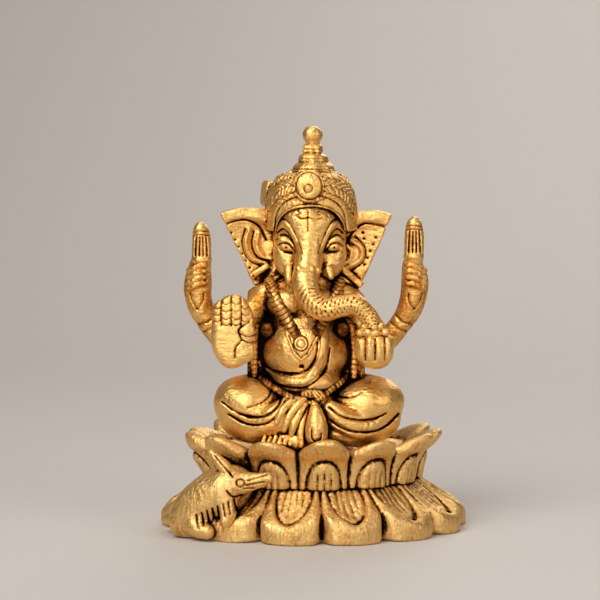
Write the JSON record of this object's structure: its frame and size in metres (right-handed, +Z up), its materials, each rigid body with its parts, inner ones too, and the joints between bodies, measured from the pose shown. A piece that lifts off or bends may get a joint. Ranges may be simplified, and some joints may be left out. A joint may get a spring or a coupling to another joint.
{
  "type": "hindu deity statue",
  "caption": "Seated elephant-headed deity in cast brass on a two-tier lotus throne, with a raised open palm, a curled trunk, a domed crown and a mouse beside the seat.",
  "frame": {"origin": "on the floor under the middle of the lower lotus", "axes": "+Z up, -Y the way the figure faces, +X to the viewer's right (the figure's own left)"},
  "size_m": [0.077, 0.0652, 0.1],
  "materials": {
    "brass_figure": "brushed and hand-polished, dark brown patina in the recesses",
    "brass_throne": "satin brushed, lighter brown patina in the grooves",
    "brass_ornament": "chased and lightly polished, dark patina between the marks",
    "fastener_steel": "plain zinc-plated"
  },
  "bodies": {
    "root": {"lower_lotus": "brass_throne", "upper_lotus": "brass_throne", "base_bolt": "fastener_steel", "bolt_washer": "fastener_steel", "mouse": "brass_throne", "hips": "brass_figure", "right_leg": "brass_figure", "left_leg": "brass_figure", "right_foot": "brass_figure", "left_foot": "brass_figure", "waist_belt": "brass_ornament", "torso": "brass_figure", "sacred_thread": "brass_ornament", "garland": "brass_ornament", "pendant": "brass_ornament", "head": "brass_figure", "trunk": "brass_figure", "right_tusk": "brass_figure", "left_tusk": "brass_figure", "right_ear": "brass_figure", "left_ear": "brass_figure", "crown": "brass_ornament", "crown_medallion": "brass_ornament", "crown_spire": "brass_ornament", "crown_finial": "brass_ornament", "halo_disc": "brass_ornament", "right_rear_arm": "brass_figure", "left_rear_arm": "brass_figure", "right_held_emblem": "brass_figure", "left_held_emblem": "brass_figure", "right_front_arm": "brass_figure", "left_front_arm": "brass_figure", "modak": "brass_figure"}
  },
  "joints": []
}
